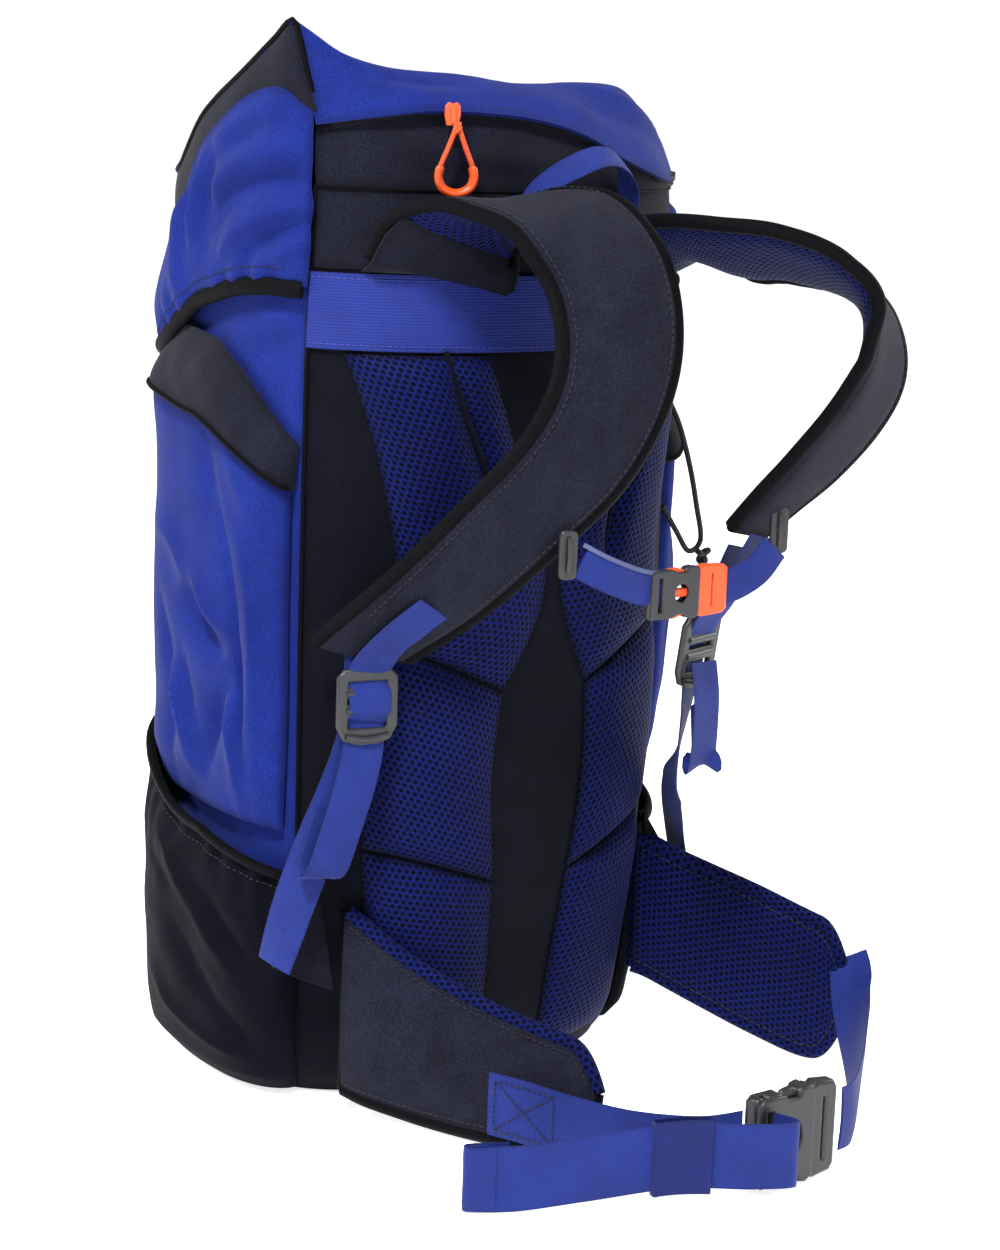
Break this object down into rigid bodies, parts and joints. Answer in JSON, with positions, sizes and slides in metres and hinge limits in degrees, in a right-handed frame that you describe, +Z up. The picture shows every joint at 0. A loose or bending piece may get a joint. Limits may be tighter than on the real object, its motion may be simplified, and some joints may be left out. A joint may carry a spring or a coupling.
{
  "type": "hiking daypack",
  "caption": "Upright hiking rucksack with lid, side and bottle pockets, padded back, curved shoulder straps, sternum strap and padded hip belt.",
  "frame": {"origin": "centre of the base's underside, on the surface it stands on", "axes": "+X to the wearer's right, +Y to the front away from the wearer, +Z up"},
  "size_m": [0.3735, 0.4668, 0.6226],
  "materials": {
    "fabric_blue": "matte woven polyester",
    "fabric_dark": "matte woven polyester",
    "webbing_blue": "ribbed webbing",
    "mesh_blue": "spacer mesh over foam",
    "padding_dark": "matte fabric over foam",
    "plastic_dark": "matte moulded",
    "plastic_orange": "matte moulded",
    "cord_black": "braided",
    "stretch_dark": "stretch fabric",
    "sheet_clear": "smooth",
    "stay_metal": "satin"
  },
  "bodies": {
    "bag": {"back_panel": "fabric_dark", "yoke_panel": "fabric_dark", "lid_back_panel": "fabric_dark", "side_panel_left": "fabric_blue", "side_panel_right": "fabric_blue", "front_panel": "fabric_blue", "base_panel": "fabric_dark", "frame_sheet": "sheet_clear", "frame_stays": "stay_metal", "snow_collar": "fabric_blue", "yoke_band": "webbing_blue", "back_pads_upper": "mesh_blue", "back_pads_middle": "mesh_blue", "back_pads_lower": "mesh_blue", "haul_loop": "webbing_blue", "side_pocket_left": "fabric_blue", "side_pocket_right": "fabric_blue", "pocket_cap_left": "fabric_dark", "pocket_cap_right": "fabric_dark", "bottle_pocket_left": "stretch_dark", "bottle_pocket_right": "stretch_dark", "bottle_bindings": "stretch_dark", "front_pocket": "fabric_blue", "axe_loops": "webbing_blue", "lid_straps": "webbing_blue", "lid_buckle_left": "plastic_dark", "lid_buckle_right": "plastic_dark", "shoulder_strap_left": "padding_dark", "shoulder_strap_right": "padding_dark", "strap_webbing_left": "webbing_blue", "strap_webbing_right": "webbing_blue", "ladder_lock_left": "plastic_dark", "ladder_lock_right": "plastic_dark", "strap_wings": "fabric_dark", "sternum_slider_left": "plastic_dark", "sternum_slider_right": "plastic_dark", "bungee_cord": "cord_black", "bungee_knot": "cord_black", "lid_zip": "fabric_dark"},
    "lid": {"lid_shell": "fabric_blue", "lid_skirt": "fabric_blue", "lid_binding": "fabric_dark", "lid_hook_left": "plastic_dark", "lid_hook_right": "plastic_dark"},
    "lid_zip_slider": {"lid_zip_slider": "plastic_orange"},
    "lid_zip_pull": {"lid_zip_pull": "plastic_orange"},
    "front_zip_slider": {"front_zip_slider": "plastic_dark"},
    "front_zip_pull": {"front_zip_pull": "plastic_orange"},
    "side_zip_left": {"side_zip_slider_left": "plastic_orange"},
    "side_zip_right": {"side_zip_slider_right": "plastic_orange"},
    "hip_left": {"hip_fin_left": "padding_dark", "waist_webbing_left": "webbing_blue", "waist_female": "plastic_dark"},
    "hip_right": {"hip_fin_right": "padding_dark", "waist_webbing_right": "webbing_blue", "waist_male": "plastic_dark"},
    "sternum_left": {"sternum_webbing_left": "webbing_blue", "sternum_female": "plastic_dark"},
    "sternum_right": {"sternum_webbing_right": "webbing_blue", "sternum_male": "plastic_orange"}
  },
  "joints": [
    {"name": "lid_hinge", "type": "hinge", "parent": "bag", "child": "lid", "pos_m": [0, -0.121, 0.5885], "axis": [1, 0, 0], "range_deg": [0, 105]},
    {"name": "lid_zip_run", "type": "hinge", "parent": "bag", "child": "lid_zip_slider", "pos_m": [0, 0.06, 0.58], "axis": [0, 0, 1], "range_deg": [-6, 8]},
    {"name": "lid_pull_swing", "type": "hinge", "parent": "lid_zip_slider", "child": "lid_zip_pull", "pos_m": [-0.0747, -0.1172, 0.583], "axis": [0.9063, -0.4226, 0], "range_deg": [-80, 0]},
    {"name": "front_zip_run", "type": "slide", "parent": "bag", "child": "front_zip_slider", "axis": [1, 0, 0], "range_m": [-0.03, 0.09]},
    {"name": "front_pull_swing", "type": "hinge", "parent": "front_zip_slider", "child": "front_zip_pull", "pos_m": [-0.025, 0.12, 0.378], "axis": [1, 0, 0], "range_deg": [0, 80]},
    {"name": "side_zip_run_left", "type": "slide", "parent": "bag", "child": "side_zip_left", "axis": [0, 0, 1], "range_m": [-0.14, 0.04]},
    {"name": "side_zip_run_right", "type": "slide", "parent": "bag", "child": "side_zip_right", "axis": [0, 0, 1], "range_m": [-0.14, 0.04]},
    {"name": "hip_swing_left", "type": "hinge", "parent": "bag", "child": "hip_left", "pos_m": [-0.113, -0.088, 0.06], "axis": [0, 0, 1], "range_deg": [-60, 0]},
    {"name": "hip_swing_right", "type": "hinge", "parent": "bag", "child": "hip_right", "pos_m": [0.12, -0.09, 0.06], "axis": [0, 0, 1], "range_deg": [0, 24]},
    {"name": "sternum_swing_left", "type": "hinge", "parent": "bag", "child": "sternum_left", "pos_m": [-0.052, -0.206, 0.35], "axis": [0, 0, 1], "range_deg": [-60, 0]},
    {"name": "sternum_swing_right", "type": "hinge", "parent": "bag", "child": "sternum_right", "pos_m": [0.093, -0.22, 0.35], "axis": [0, 0, 1], "range_deg": [0, 60]}
  ]
}
